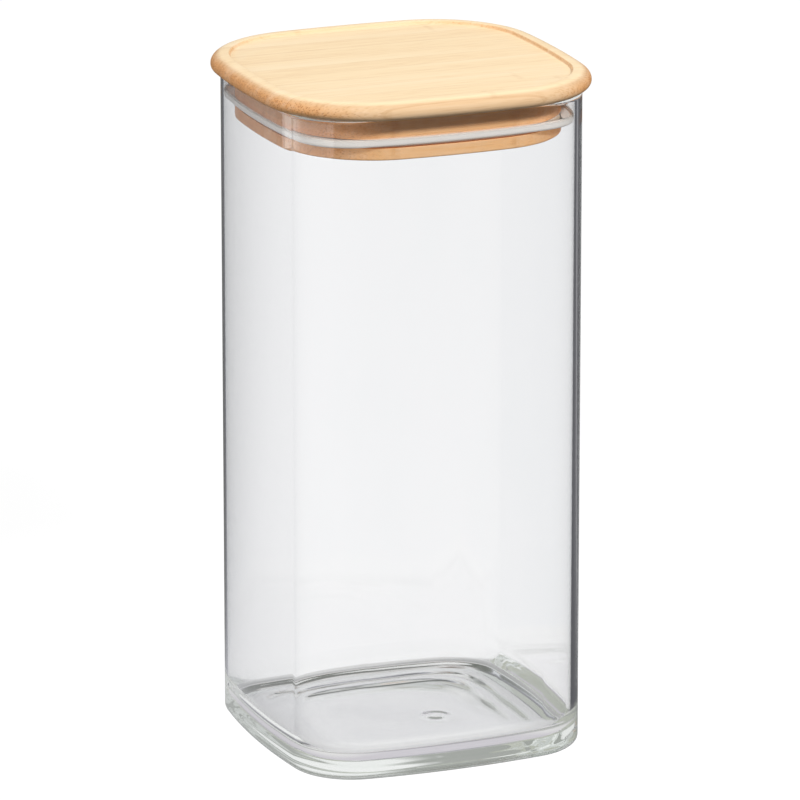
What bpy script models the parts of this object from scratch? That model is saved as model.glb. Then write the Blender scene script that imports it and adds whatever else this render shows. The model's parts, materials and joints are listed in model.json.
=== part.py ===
"""Square glass storage jar with a bamboo lid that lifts off.

Units are metres and +Z is up. The origin is the middle of the jar's foot, on the surface it stands on.
The jar is one blown glass body. The lid is a bamboo board with a bamboo plug glued under it, and a
silicone seal that sits in the plug's groove and bends up against the inside of the glass.
"""
import math

import bmesh
import bpy

# Glass jar
JAR_WIDTH = 0.0960
JAR_HEIGHT = 0.2041
JAR_CORNER = 0.0202
JAR_SIDE_RADIUS = 0.2440
WALL = 0.0022
FLOOR = 0.0042
FLOOR_FILLET = 0.0080
HEEL_ROUND = 0.0022
LIP_ROUND = 0.0008
FOOT_WIDTH = 0.0070
DISH_DEPTH = 0.0009
DISH_ROUND = 0.0006

# Bamboo board, the top of the lid
BOARD_OVERHANG = 0.0043
BOARD_CORNER_EASE = 0.0130
BOARD_SIDE_RADIUS = 0.2970
BOARD_THICKNESS = 0.0056
BOARD_EDGE_ROUND = 0.0027
RIM_WIDTH = 0.0058
RECESS_DEPTH = 0.0011
RECESS_FILLET = 0.0005
RIM_ROUND = 0.0004

# Bamboo plug under the board
PLUG_CLEARANCE = 0.00125
PLUG_CORNER_EASE = 0.0110
PLUG_DEPTH = 0.0128
FLANGE_THICKNESS = 0.0037
FLANGE_ROUND = 0.0005
GROOVE_HEIGHT = 0.0026
GROOVE_DEPTH = 0.0028

# Silicone seal in the plug's groove
SEAL_FIT = 0.0003
SEAL_WALL_GAP = 0.0003
SEAL_SKIRT_THICKNESS = 0.0005
SEAL_SKIRT_HEIGHT = 0.0052
SEAL_FIN_THICKNESS = 0.0014
SEAL_FIN_LIFT = 0.0005
SEAL_OUTER_BEND = 0.0008
SEAL_UNDER_BEND = 0.0002
SEAL_INNER_BEND = 0.0004

# Glue lines and the lid's seat on the glass
GLUE_GAP = 0.0003
SEAT_GAP = 0.0003

# How far every cutter runs past the face it cuts, and how near two points are merged
OVERRUN = 0.0020
MERGE_DISTANCE = 0.00003

# How finely the rounded shapes are divided
CORNER_STEPS = 12
SIDE_STEPS = 8
FULL_ROUND_SEGMENTS = 6
FILLET_SEGMENTS = 5
SMALL_ROUND_SEGMENTS = 2
SMOOTH_ANGLE = math.radians(35)
SHARP_EDGE = math.radians(60)
FLAT_ANGLE = math.radians(0.1)

# Sizes and heights that follow from the ones above
JAR_HALF = JAR_WIDTH / 2
BORE_HALF = JAR_HALF - WALL
BORE_CORNER = JAR_CORNER - WALL
BORE_SIDE_RADIUS = JAR_SIDE_RADIUS - WALL
BOARD_HALF = JAR_HALF + BOARD_OVERHANG
BOARD_CORNER = JAR_CORNER + BOARD_CORNER_EASE
PLUG_HALF = BORE_HALF - PLUG_CLEARANCE
PLUG_CORNER = BORE_CORNER + PLUG_CORNER_EASE
PLUG_SIDE_RADIUS = BORE_SIDE_RADIUS - PLUG_CLEARANCE
BOARD_UNDERSIDE = JAR_HEIGHT + SEAT_GAP
BOARD_TOP = BOARD_UNDERSIDE + BOARD_THICKNESS
PLUG_TOP = BOARD_UNDERSIDE - GLUE_GAP
PLUG_BOTTOM = PLUG_TOP - PLUG_DEPTH
GROOVE_BOTTOM = PLUG_BOTTOM + FLANGE_THICKNESS
GROOVE_TOP = GROOVE_BOTTOM + GROOVE_HEIGHT


def clear_scene():
    for obj in list(bpy.data.objects):
        bpy.data.objects.remove(obj, do_unlink=True)


def new_collection(name):
    collection = bpy.data.collections.new(name)
    bpy.context.scene.collection.children.link(collection)
    return collection


def new_material(name, color, roughness, metallic=0.0, transmission=0.0, ior=1.5):
    material = bpy.data.materials.new(name)
    material.use_nodes = True
    shader = material.node_tree.nodes["Principled BSDF"]
    shader.inputs["Base Color"].default_value = (*color, 1.0)
    shader.inputs["Roughness"].default_value = roughness
    shader.inputs["Metallic"].default_value = metallic
    shader.inputs["Transmission Weight"].default_value = transmission
    shader.inputs["IOR"].default_value = ior
    material.diffuse_color = (*color, 1.0)
    return material


def outline(half, corner, side_radius, offset=0.0):
    """Points of a square with rounded corners and slightly bowed sides, grown outwards by an offset.

    Each side is an arc of the side radius through the middle of that side, and each corner arc is
    tangent to the two side arcs next to it. Growing every radius alike keeps the curves parallel.
    """
    half = half + offset
    corner = corner + offset
    side_radius = side_radius + offset
    reach = side_radius - half
    spare = (side_radius - corner) ** 2 - reach**2 / 2
    corner_centre = (math.sqrt(2 * spare) - reach) / 2
    turn = math.atan2(corner_centre, corner_centre + reach)
    points = []
    for quarter in range(4):
        start = quarter * math.pi / 2
        for step in range(SIDE_STEPS):
            angle = -turn + 2 * turn * step / SIDE_STEPS
            x = side_radius * math.cos(angle) - reach
            y = side_radius * math.sin(angle)
            points.append(rotated(x, y, start))
        for step in range(CORNER_STEPS):
            angle = turn + (math.pi / 2 - 2 * turn) * step / CORNER_STEPS
            x = corner_centre + corner * math.cos(angle)
            y = corner_centre + corner * math.sin(angle)
            points.append(rotated(x, y, start))
    return points


def rotated(x, y, angle):
    return (x * math.cos(angle) - y * math.sin(angle), x * math.sin(angle) + y * math.cos(angle))


def jar_outline(offset=0.0):
    return outline(JAR_HALF, JAR_CORNER, JAR_SIDE_RADIUS, offset)


def bore_outline(offset=0.0):
    return outline(BORE_HALF, BORE_CORNER, BORE_SIDE_RADIUS, offset)


def board_outline(offset=0.0):
    return outline(BOARD_HALF, BOARD_CORNER, BOARD_SIDE_RADIUS, offset)


def plug_outline(offset=0.0):
    return outline(PLUG_HALF, PLUG_CORNER, PLUG_SIDE_RADIUS, offset)


def slab(name, outlines, bottom, top, collection):
    """A flat outline, with any inner outlines as holes, made solid from one height to another."""
    curve = bpy.data.curves.new(name, "CURVE")
    curve.dimensions = "2D"
    curve.fill_mode = "BOTH"
    curve.extrude = (top - bottom) / 2
    for points in outlines:
        spline = curve.splines.new("POLY")
        spline.points.add(len(points) - 1)
        for point, (x, y) in zip(spline.points, points):
            point.co = (x, y, 0.0, 1.0)
        spline.use_cyclic_u = True
    drawn = bpy.data.objects.new(name + "_outline", curve)
    collection.objects.link(drawn)
    drawn.location = (0.0, 0.0, (bottom + top) / 2)
    bpy.context.view_layer.update()
    evaluated = drawn.evaluated_get(bpy.context.evaluated_depsgraph_get())
    mesh = bpy.data.meshes.new_from_object(evaluated)
    mesh.name = name
    solid = bpy.data.objects.new(name, mesh)
    collection.objects.link(solid)
    solid.matrix_world = drawn.matrix_world
    bpy.data.objects.remove(drawn, do_unlink=True)

    bm = bmesh.new()
    bm.from_mesh(mesh)
    bmesh.ops.remove_doubles(bm, verts=bm.verts, dist=MERGE_DISTANCE)
    if len(outlines) == 1:
        bmesh.ops.dissolve_limit(bm, angle_limit=FLAT_ANGLE, verts=bm.verts, edges=bm.edges)
    bmesh.ops.recalc_face_normals(bm, faces=bm.faces)
    bm.to_mesh(mesh)
    bm.free()
    return solid


def weigh_edges(solid, bottom=False, top=False):
    """Marks the edges round a slab's bottom or top face for the Bevel that follows."""
    mesh = solid.data
    weights = mesh.attributes.new("bevel_weight_edge", "FLOAT", "EDGE")
    heights = [vertex.co.z for vertex in mesh.vertices]
    middle = (min(heights) + max(heights)) / 2
    for edge in mesh.edges:
        above = [heights[index] > middle for index in edge.vertices]
        if bottom and not any(above):
            weights.data[edge.index].value = 1.0
        if top and all(above):
            weights.data[edge.index].value = 1.0


def round_edges(solid, name, width, segments, method="WEIGHT"):
    bevel = solid.modifiers.new(name, "BEVEL")
    bevel.width = width
    bevel.segments = segments
    bevel.limit_method = method
    bevel.angle_limit = SHARP_EDGE
    bevel.use_clamp_overlap = True
    return bevel


def cut(solid, name, cutter):
    boolean = solid.modifiers.new(name, "BOOLEAN")
    boolean.operation = "DIFFERENCE"
    boolean.solver = "EXACT"
    boolean.object = cutter
    cutter.hide_render = True
    cutter.display_type = "WIRE"
    return boolean


def finish_piece(solid, material, parent):
    """Gives a piece its material and smooth shading, and hangs it on its body's empty."""
    solid.data.materials.clear()
    solid.data.materials.append(material)
    for polygon in solid.data.polygons:
        polygon.use_smooth = True
    solid.data.set_sharp_from_angle(angle=SMOOTH_ANGLE)
    place = solid.matrix_world.copy()
    solid.parent = parent
    solid.matrix_parent_inverse = parent.matrix_world.inverted()
    solid.matrix_world = place


def new_body(name, height, collection):
    empty = bpy.data.objects.new(name, None)
    empty.empty_display_size = JAR_WIDTH / 4
    empty.location = (0.0, 0.0, height)
    collection.objects.link(empty)
    bpy.context.view_layer.update()
    return empty


def make_glass_jar(parts, cutters, body):
    """The blown body: thin walls, a thicker floor with a soft fillet, a rounded lip and a dished underside."""
    jar = slab("glass_jar", [jar_outline()], 0.0, JAR_HEIGHT, parts)
    weigh_edges(jar, bottom=True)
    round_edges(jar, "heel", HEEL_ROUND, FILLET_SEGMENTS)

    bore = slab("bore_cutter", [bore_outline()], FLOOR, JAR_HEIGHT + OVERRUN, cutters)
    weigh_edges(bore, bottom=True)
    round_edges(bore, "floor_fillet", FLOOR_FILLET, FULL_ROUND_SEGMENTS)
    cut(jar, "bore", bore)
    round_edges(jar, "lip", LIP_ROUND, SMALL_ROUND_SEGMENTS, "ANGLE")

    dish = slab("dish_cutter", [jar_outline(-HEEL_ROUND - FOOT_WIDTH)], -OVERRUN, DISH_DEPTH, cutters)
    weigh_edges(dish, top=True)
    round_edges(dish, "dish_round", DISH_ROUND, SMALL_ROUND_SEGMENTS)
    cut(jar, "dish", dish)
    finish_piece(jar, new_material("clear_glass", (0.93, 0.96, 0.96), 0.03, transmission=1.0, ior=1.47), body)


def make_lid_board(parts, cutters, body):
    """The board that overhangs the glass: a round-nosed edge and a shallow panel cut into its top."""
    board = slab("lid_board", [board_outline()], BOARD_UNDERSIDE, BOARD_TOP, parts)
    weigh_edges(board, bottom=True, top=True)
    round_edges(board, "round_nose", BOARD_EDGE_ROUND, FULL_ROUND_SEGMENTS)

    panel = slab("panel_cutter", [board_outline(-RIM_WIDTH)], BOARD_TOP - RECESS_DEPTH, BOARD_TOP + OVERRUN, cutters)
    weigh_edges(panel, bottom=True)
    round_edges(panel, "panel_fillet", RECESS_FILLET, SMALL_ROUND_SEGMENTS)
    cut(board, "panel", panel)
    round_edges(board, "rim_round", RIM_ROUND, SMALL_ROUND_SEGMENTS, "ANGLE")
    finish_piece(board, new_material("bamboo_board", (0.86, 0.66, 0.42), 0.45), body)


def make_lid_plug(parts, cutters, body):
    """The block under the board that drops into the glass, with the seal's groove cut round it."""
    plug = slab("lid_plug", [plug_outline()], PLUG_BOTTOM, PLUG_TOP, parts)
    weigh_edges(plug, bottom=True)
    round_edges(plug, "flange_round", FLANGE_ROUND, SMALL_ROUND_SEGMENTS)

    ring = [plug_outline(OVERRUN), plug_outline(-GROOVE_DEPTH)]
    groove = slab("groove_cutter", ring, GROOVE_BOTTOM, GROOVE_TOP, cutters)
    cut(plug, "groove", groove)
    finish_piece(plug, new_material("bamboo_plug", (0.72, 0.47, 0.26), 0.55), body)


def seal_sections():
    """The seal's section, one closed ring of points for each of its corners, going round the section.

    The root follows the plug's groove. The fin crosses to the wall of the bore, whose corners are
    tighter than the plug's, and the skirt runs up along that wall.
    """
    root_bottom = GROOVE_BOTTOM + SEAL_FIT
    root_top = GROOVE_TOP - SEAL_FIT
    root_inner = -GROOVE_DEPTH + SEAL_FIT
    fin_bottom = root_bottom + SEAL_FIN_LIFT
    fin_top = fin_bottom + SEAL_FIN_THICKNESS
    skirt_outer = -SEAL_WALL_GAP
    skirt_inner = skirt_outer - SEAL_SKIRT_THICKNESS
    skirt_top = fin_bottom + SEAL_SKIRT_HEIGHT
    tip_round = SEAL_SKIRT_THICKNESS / 2
    return [
        (plug_outline(root_inner), root_bottom),
        (plug_outline(-SEAL_FIT), root_bottom),
        (plug_outline(SEAL_FIT), fin_bottom),
        (bore_outline(skirt_inner), fin_bottom + SEAL_UNDER_BEND),
        (bore_outline(skirt_outer), fin_bottom + SEAL_OUTER_BEND),
        (bore_outline(skirt_outer), skirt_top - tip_round),
        (bore_outline(skirt_outer - tip_round), skirt_top),
        (bore_outline(skirt_inner), skirt_top - tip_round),
        (bore_outline(skirt_inner), fin_top + SEAL_INNER_BEND),
        (plug_outline(SEAL_FIT), fin_top),
        (plug_outline(-SEAL_FIT), fin_top),
        (plug_outline(-SEAL_FIT), root_top),
        (plug_outline(root_inner), root_top),
    ]


def make_silicone_seal(parts, body):
    """A loft through the section's rings, closed on itself, because the plug and the bore differ in plan."""
    middle = (GROOVE_BOTTOM + GROOVE_TOP) / 2
    bm = bmesh.new()
    rings = []
    for points, height in seal_sections():
        rings.append([bm.verts.new((x, y, height - middle)) for x, y in points])
    for ring, last_ring in zip(rings, [rings[-1], *rings]):
        for index in range(len(ring)):
            bm.faces.new((last_ring[index - 1], last_ring[index], ring[index], ring[index - 1]))
    bmesh.ops.recalc_face_normals(bm, faces=bm.faces)
    mesh = bpy.data.meshes.new("silicone_seal")
    bm.to_mesh(mesh)
    bm.free()
    seal = bpy.data.objects.new("silicone_seal", mesh)
    parts.objects.link(seal)
    seal.location = (0.0, 0.0, middle)
    bpy.context.view_layer.update()
    finish_piece(seal, new_material("clear_silicone", (0.90, 0.89, 0.86), 0.40, transmission=0.5, ior=1.41), body)


def main():
    clear_scene()
    parts = new_collection("storage_jar")
    cutters = new_collection("cutters")
    jar_body = new_body("jar_body", 0.0, parts)
    lid_body = new_body("lid_body", JAR_HEIGHT, parts)
    make_glass_jar(parts, cutters, jar_body)
    make_lid_board(parts, cutters, lid_body)
    make_lid_plug(parts, cutters, lid_body)
    make_silicone_seal(parts, lid_body)


main()
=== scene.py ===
"""A square glass storage jar with a bamboo lid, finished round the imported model.

Units are metres and +Z is up. The jar stands on z = 0 with its middle on the origin. The bamboo's
grain runs along X. The lid's pieces lift off together.
"""
import json
import math

import bmesh
import bpy
from mathutils import Matrix, Vector

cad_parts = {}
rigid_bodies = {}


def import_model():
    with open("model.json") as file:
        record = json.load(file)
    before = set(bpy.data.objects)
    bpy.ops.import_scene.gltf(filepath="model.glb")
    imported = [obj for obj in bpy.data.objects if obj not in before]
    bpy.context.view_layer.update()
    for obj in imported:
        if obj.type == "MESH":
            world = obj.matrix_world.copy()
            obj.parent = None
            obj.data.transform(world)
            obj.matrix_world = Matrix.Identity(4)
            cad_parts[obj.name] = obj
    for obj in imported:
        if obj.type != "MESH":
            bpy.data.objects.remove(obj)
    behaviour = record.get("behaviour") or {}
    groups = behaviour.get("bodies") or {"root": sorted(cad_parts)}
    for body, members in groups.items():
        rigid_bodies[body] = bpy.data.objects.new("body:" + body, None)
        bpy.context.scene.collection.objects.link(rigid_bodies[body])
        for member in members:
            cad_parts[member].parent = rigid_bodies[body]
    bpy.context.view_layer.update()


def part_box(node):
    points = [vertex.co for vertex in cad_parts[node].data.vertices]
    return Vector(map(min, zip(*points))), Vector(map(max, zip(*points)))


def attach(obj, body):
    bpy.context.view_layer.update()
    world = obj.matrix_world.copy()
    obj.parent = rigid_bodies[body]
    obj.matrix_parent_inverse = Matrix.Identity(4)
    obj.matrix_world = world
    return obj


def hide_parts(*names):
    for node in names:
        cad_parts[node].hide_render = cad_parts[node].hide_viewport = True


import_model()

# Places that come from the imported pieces
jar_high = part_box("glass_jar")[1]
board_low, board_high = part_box("lid_board")
plug_low, plug_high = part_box("lid_plug")
seal_low, seal_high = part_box("silicone_seal")

JAR_HALF = jar_high.x
JAR_HEIGHT = jar_high.z
BOARD_HALF = board_high.x
BOARD_UNDERSIDE = board_low.z
BOARD_TOP = board_high.z
PLUG_HALF = plug_high.x
PLUG_BOTTOM = plug_low.z
PLUG_TOP = plug_high.z
SEAL_BOTTOM = seal_low.z
SEAL_TOP = seal_high.z

# Glass
JAR_CORNER = 0.0202
JAR_SIDE_RADIUS = 0.2440
WALL = 0.0022
FLOOR = 0.0042
FLOOR_FILLET = 0.0080
FILLET_RISE = 0.0080
HEEL_ROUND = 0.0022
LIP_ROUND = 0.0008
FOOT_WIDTH = 0.0070
WALL_RINGS = 24

# How square the jar's plan is: the power of the rounded square that stands for it
PLAN_SQUARENESS = 4.75

# Dome, moulding rings and floor waves; edges, spans and ring lengths are shares of the jar's half width
DOME_DEPTH = 0.0012
DOME_EDGE = 0.90
DOME_FLAT = 0.40
RIPPLE_SHARE = 0.15
RIPPLE_LENGTH = 0.13
RIPPLE_FADE = 3 * RIPPLE_LENGTH
FLOOR_WAVE = 0.0004
FLOOR_WAVE_SIZE = 0.0200
FLOOR_WAVE_SPAN = (0.97, 0.75)
UNDER_WAVE = 0.0003
UNDER_WAVE_SIZE = 0.0140

# The small round mark that the mould leaves near the floor's middle, with spans as shares of its radius
MARK_PLACE = Vector((0.0084, -0.0078))
MARK_RADIUS = 0.0048
MARK_OUTER_SPAN = (1.0, 0.75)
MARK_INNER_SPAN = (0.25, 0.60)
MARK_DEPTH = 0.0002

# Board, whose round nose is widest a little below its middle
BOARD_CORNER = 0.0332
BOARD_SIDE_RADIUS = 0.2970
NOSE_TOP_REACH = 0.0044
NOSE_UNDER_REACH = 0.0037
NOSE_UNDER_HEIGHT = 0.0023
NOSE_FLAT = 0.0002
RIM_WIDTH = 0.0058
RECESS_DEPTH = 0.0011
RECESS_FILLET = 0.0006
RIM_ROUND = 0.0005

# Plug
PLUG_CORNER = 0.0290
PLUG_SIDE_RADIUS = 0.24055
FLANGE_THICKNESS = 0.0037
FLANGE_ROUND = 0.0005
GROOVE_HEIGHT = 0.0026
GROOVE_DEPTH = 0.0028
GROOVE_EASE = 0.0002

# Seal
SEAL_FIT = 0.0003
SEAL_WALL_GAP = 0.0003
SEAL_SKIRT_THICKNESS = 0.0005
SEAL_FIN_THICKNESS = 0.0014
SEAL_FIN_LIFT = 0.0005
SEAL_OUTER_BEND = 0.0008
SEAL_INNER_BEND = 0.0004

# How finely the outlines and the rounded edges are divided
SIDE_STEPS = 20
CORNER_STEPS = 28
ARC_STEPS = 10
FILLET_STEPS = 14
SMALL_ARC_STEPS = 4
EASE_STEPS = 3
FOOT_STEPS = 5
EDGE_STEP = 0.0002
MERGE_DISTANCE = 0.00001

# How faces are told apart and shaded
CAP_LEAST_CORNERS = 9
LEVEL_NORMAL = 0.9
UPRIGHT_NORMAL = 0.1
SMOOTH_ANGLE = math.radians(40)

# Camera
CAMERA_AZIMUTH = math.radians(-21.72)
CAMERA_ELEVATION = math.radians(16.33)
CAMERA_DISTANCE = 2.114
CAMERA_AIM = Vector((-0.00005, 0.0, 0.10375))
CAMERA_LENS = 312.90

# Bamboo strips, the seams between them and the cane's joints
STRIP_WIDTH = 0.0095
STRIP_TONE_STRENGTH = 0.10
SEAM_SPAN = (0.0120, 0.0288)
SEAM_DARKNESS = 0.20
JOINT_SPREAD = 0.12
JOINT_SPAN = (0.0003, 0.0016)
JOINT_WAVE = 0.0022
JOINT_DARKNESS = 0.14
JOINT_DRAW = 0.37

# Bamboo fibres: each pattern, and how strongly it shows
BROAD_GRAIN = {"scale": 190.0, "detail": 2.0, "rough": 0.5, "stretch": (0.05, 1.0, 0.6)}
BROAD_STRENGTH = 0.36
FIBRES = {"scale": 620.0, "detail": 3.0, "rough": 0.6, "stretch": (0.022, 1.0, 0.8)}
FIBRE_STRENGTH = 0.32
FINE_FIBRES = {"scale": 2300.0, "detail": 2.0, "rough": 0.5, "stretch": (0.018, 1.0, 1.0)}
FINE_SHARE = 0.6
BUNDLE_SCALE = 1900.0
BUNDLE_STRETCH = (0.05, 1.0, 1.0)
SPECK_SPAN = (0.18, 0.48)
SPECK_STRENGTH = 1.0
SPECK_SIDE_SHARE = 0.15
FINE_RELIEF = 0.5
MARK_RELIEF = 1.6

# Bamboo finish: where the cut ends and the sides take over from the top, what the wood looks like, and the
# height above the groove where the plug's neck takes a painted shade from the board
END_SPAN = (0.15, 0.95)
TOP_SPAN = (0.84, 0.995)
TOP_FADE = 0.0013
TOP_SIDE_SHARE = 0.45
TOP_TURN = 0.002
PAINTED_NECK_SHADE_HEIGHT = 0.0026
BAMBOO_IOR = 1.45
BAMBOO_ROUGHNESS = 0.36
FINE_ROUGHNESS = 0.18
SPECK_ROUGHNESS = 0.10
BAMBOO_BUMP = (0.35, 0.0001)
RUBBED_SHARE = 0.10
RUBBED_POLISH = 0.10
BOARD_GLOSS = 0.25
PLUG_GLOSS = 0.08
BAMBOO_DARK_TINT = (0.62, 0.42, 0.26)
BAMBOO_PALE = (1.0, 0.95, 0.82)
BAMBOO_RUBBED = (0.92, 0.78, 0.55)
BOARD_FINISH = {
    "Strip Shift": 0.35,
    "Top Height": BOARD_TOP - RECESS_DEPTH,
    "Top And Painted Shade Side": -1.0,
    "Top And Painted Shade Color": (0.90, 0.70, 0.44),
    "Side Color": (0.70, 0.48, 0.28),
    "End Color": (0.72, 0.35, 0.12),
}
# The plug's top colour is painted shade: it darkens the neck above the groove as if the board's overhang
# shaded it
PLUG_FINISH = {
    "Strip Shift": 5.6,
    "Top Height": PLUG_BOTTOM + FLANGE_THICKNESS + GROOVE_HEIGHT + PAINTED_NECK_SHADE_HEIGHT,
    "Top And Painted Shade Side": 1.0,
    "Top And Painted Shade Color": (0.54, 0.19, 0.04),
    "Side Color": (0.90, 0.50, 0.225),
    "End Color": (0.84, 0.38, 0.14),
}

# Edge wear and handling marks
PATCHES = {"detail": 3.0, "rough": 0.6}
PATCH_SPAN = (0.3, 0.7)
PATCH_LEAST = 0.25
BAMBOO_WEAR = {"Start": 0.505, "Full": 0.56, "Patch Scale": 240.0}
SILICONE_WEAR = {"Start": 0.52, "Full": 0.60, "Patch Scale": 400.0}
WIPES = {"detail": 4.0, "rough": 0.65, "stretch": (1.0, 1.0, 0.35)}
WIPE_SPAN = (0.52, 0.78)
DUST_FINENESS = 30.0
DUST_SPAN = (0.60, 0.80)
WAVES = {"detail": 1.0, "rough": 0.4, "stretch": (1.0, 1.0, 0.4)}
SILICONE_HANDLING = {"Mark Scale": 120.0, "Wave Scale": 220.0}
GLASS_HANDLING = {"Mark Scale": 26.0, "Wave Scale": 34.0}

# Silicone material
SKIRT_RISE = 0.0020
SKIRT_FADE = 0.0014
SKIRT_ALPHA = 0.012
SKIRT_SHADOW = (0.99, 0.99, 0.98)
SILICONE_IOR = 1.41
SILICONE_ROUGHNESS = 0.38
SILICONE_MARK_ROUGHNESS = 0.18
SILICONE_DUST_ROUGHNESS = 0.12
SILICONE_BUMP = (0.3, 0.0002)
SILICONE_DUST_SHARE = 0.35
SILICONE_RUBBED_SHARE = 0.2
SILICONE_SHADOW = (0.75, 0.70, 0.64)
SILICONE_MILKY = (0.98, 0.92, 0.87)
SILICONE_CLEAR = (0.90, 0.88, 0.84)
SILICONE_DUST = (0.80, 0.79, 0.75)
SILICONE_RUBBED = (0.82, 0.81, 0.78)

# Glass material
GLASS_IOR = 1.47
GLASS_COLOR = (1.0, 1.0, 1.0)
GLASS_MARK_COLOR = (0.985, 0.99, 0.99)
GLASS_MARK_ROUGHNESS = 0.012
GLASS_BUMP = (0.5, 0.00004)
GLASS_SHADOW = (0.965, 0.97, 0.97)
GLASS_BODY = (0.84, 0.88, 0.84)
GLASS_DENSITY = 7.0

# Painted shade round the glass's foot, with a dark painted line at the very bottom, over a frosted scuff
# that shows as roughness
FOOT_SCUFF_AND_SHADE_SPAN = (0.7 * HEEL_ROUND, 1.1 * HEEL_ROUND)
FOOT_SCUFF_AND_SHADE_TURN = (0.98, 0.80)
FOOT_SCUFF_AND_SHADE_LEAST = 0.8
PAINTED_FOOT_LINE_SPAN = (0.0003, 0.0006)
PAINTED_FOOT_LINE_COLOR = (0.12, 0.12, 0.12)
PAINTED_FOOT_SHADE_COLOR = (0.40, 0.40, 0.39)
FOOT_ROUGHNESS = 0.06

# How light paths are told apart, by how often they were mirrored or went through a surface, and by length
MIRRORED_ONCE = 0.5
MIRRORED_TWICE = 1.5
LOST_DEPTH = 4.5
CAUGHT_DEPTH = 5.5
THROUGH_WALL = 2.5
CROSSED_DEPTH = 3.5
NEAR_SPAN = (0.015, 0.030)
GLASS_BOUNCES = 32

# Studio tones that everything shares
WHITE = (1.0, 1.0, 1.0)
BACKDROP_WHITE = (1.09, 1.09, 1.09)
THROUGH_WHITE = (1.0, 1.0, 1.01)

# Sky tones, with spans by the height (1 is overhead) or the side that the light comes from
FILL_LOW = (0.20, 0.20, 0.20)
FILL_HIGH = (0.62, 0.62, 0.62)
FILL_HEIGHT_SPAN = (0.4, 0.9)
FILL_LEFT = (1.50, 1.50, 1.50)
FILL_LEFT_SPAN = (-0.9, -0.2)
FILL_RIGHT = (0.60, 0.60, 0.60)
FILL_RIGHT_SPAN = (0.4, 0.9)
SKY_LOW_TONE = (0.35, 0.36, 0.38)
SKY_HIGH_TONE = (1.30, 1.30, 1.30)
SKY_SPAN = (0.25, 0.55)
GUIDED_LOW_TONE = (0.95, 0.95, 0.95)
GUIDED_HIGH_TONE = (0.40, 0.41, 0.40)
GUIDED_SPAN = (0.30, 0.60)
CROSSED_LOW_TONE = (0.33, 0.33, 0.36)
CROSSED_HIGH_TONE = (0.16, 0.17, 0.15)
CEILING_TONE = (1.0, 1.0, 1.0)
CEILING_SPAN = (0.78, 0.92)
LOST_UP_TONE = (0.72, 0.73, 0.72)
LOST_BACK_TONE = (0.56, 0.57, 0.51)
LOST_BACK_SPAN = (0.3, 0.7)

# Floor
FLOOR_SIZE = 20.0
FLOOR_DROP = 0.0001
FLOOR_BOUNCE = (0.17, 0.17, 0.17)
FLOOR_PAPER = (0.90, 0.90, 0.90)
SHADOW_SHARE = 0.2
CONTACT_TONE = (0.58, 0.58, 0.59)
CONTACT_INNER_SPAN = (0.50, 0.97)
CONTACT_OUTER_SPAN = (0.99, 1.02)
PAINTED_UNDER_JAR_SHADE_TONE = (0.64, 0.62, 0.66)
PAINTED_UNDER_JAR_SHADE_SPAN = (JAR_HALF, 1.2 * JAR_HALF)
NEAR_TONE = (0.80, 0.80, 0.79)
CROSSED_TONE = (0.70, 0.72, 0.75)
LOST_LEFT_TONE = (0.95, 0.95, 0.95)
LOST_RIGHT_TONE = (0.43, 0.44, 0.42)
LOST_SPAN = (-0.002, 0.010)

# Tones of the floor's far parts, by degrees anticlockwise from +X, as glass guides or mirrors them
GUIDED_TONES = [
    (0, (0.10, 0.10, 0.11)),
    (27, (0.10, 0.10, 0.11)),
    (30, (0.34, 0.34, 0.36)),
    (33, (0.34, 0.34, 0.36)),
    (37, (0.10, 0.10, 0.11)),
    (98, (0.10, 0.10, 0.11)),
    (112, (0.26, 0.27, 0.30)),
    (130, (0.38, 0.39, 0.42)),
    (220, (0.30, 0.31, 0.33)),
    (300, (0.20, 0.21, 0.22)),
    (340, (0.10, 0.10, 0.11)),
    (360, (0.10, 0.10, 0.11)),
]
MIRRORED_TONES = [
    (0, (0.15, 0.15, 0.16)),
    (60, (0.10, 0.10, 0.10)),
    (95, (0.15, 0.15, 0.15)),
    (112, (0.31, 0.31, 0.32)),
    (124, (0.50, 0.50, 0.52)),
    (220, (0.35, 0.35, 0.38)),
    (290, (0.10, 0.11, 0.14)),
    (360, (0.15, 0.15, 0.16)),
]

# The light panel on the left, curved about the jar's front left corner
SOFTBOX_CENTRE = JAR_HALF - JAR_CORNER
SOFTBOX_RADIUS = 0.50
SOFTBOX_BOTTOM = 0.0690
SOFTBOX_HEIGHT = 0.50
SOFTBOX_START = math.radians(123.5)
SOFTBOX_END = math.radians(220.0)
SOFTBOX_STEPS = 720
SOFTBOX_GLOW = 1.6

# Key lamp
KEY_PLACE = Vector((0.33, -1.34, 1.20))
KEY_SIZE = 0.20
KEY_POWER = 22.5


def deselect_all():
    bpy.ops.object.select_all(action="DESELECT")


def make_active(obj):
    """Selects one piece alone and makes it the active one."""
    deselect_all()
    obj.select_set(True)
    bpy.context.view_layer.objects.active = obj


def start_edit(obj):
    make_active(obj)
    bpy.ops.object.mode_set(mode="EDIT")


def end_edit():
    bpy.ops.object.mode_set(mode="OBJECT")


def select_where(test, kind="faces"):
    """Selects the faces or edges of the mesh in edit mode for which the test is true, and nothing else."""
    bpy.ops.mesh.select_mode(type={"faces": "FACE", "edges": "EDGE"}[kind])
    bpy.ops.mesh.select_all(action="DESELECT")
    mesh = bpy.context.edit_object.data
    bm = bmesh.from_edit_mesh(mesh)
    bm.normal_update()
    for element in getattr(bm, kind):
        if test(element):
            element.select_set(True)
    bm.select_flush_mode()
    bmesh.update_edit_mesh(mesh)


def new_plane(name, size, height):
    """A plane at its size and height, with its place in its mesh."""
    deselect_all()
    bpy.ops.mesh.primitive_plane_add(size=size, location=(0.0, 0.0, height))
    obj = bpy.context.active_object
    obj.name = name
    obj.data.name = name
    bpy.ops.object.transform_apply(location=True, rotation=False, scale=False)
    return obj


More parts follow.
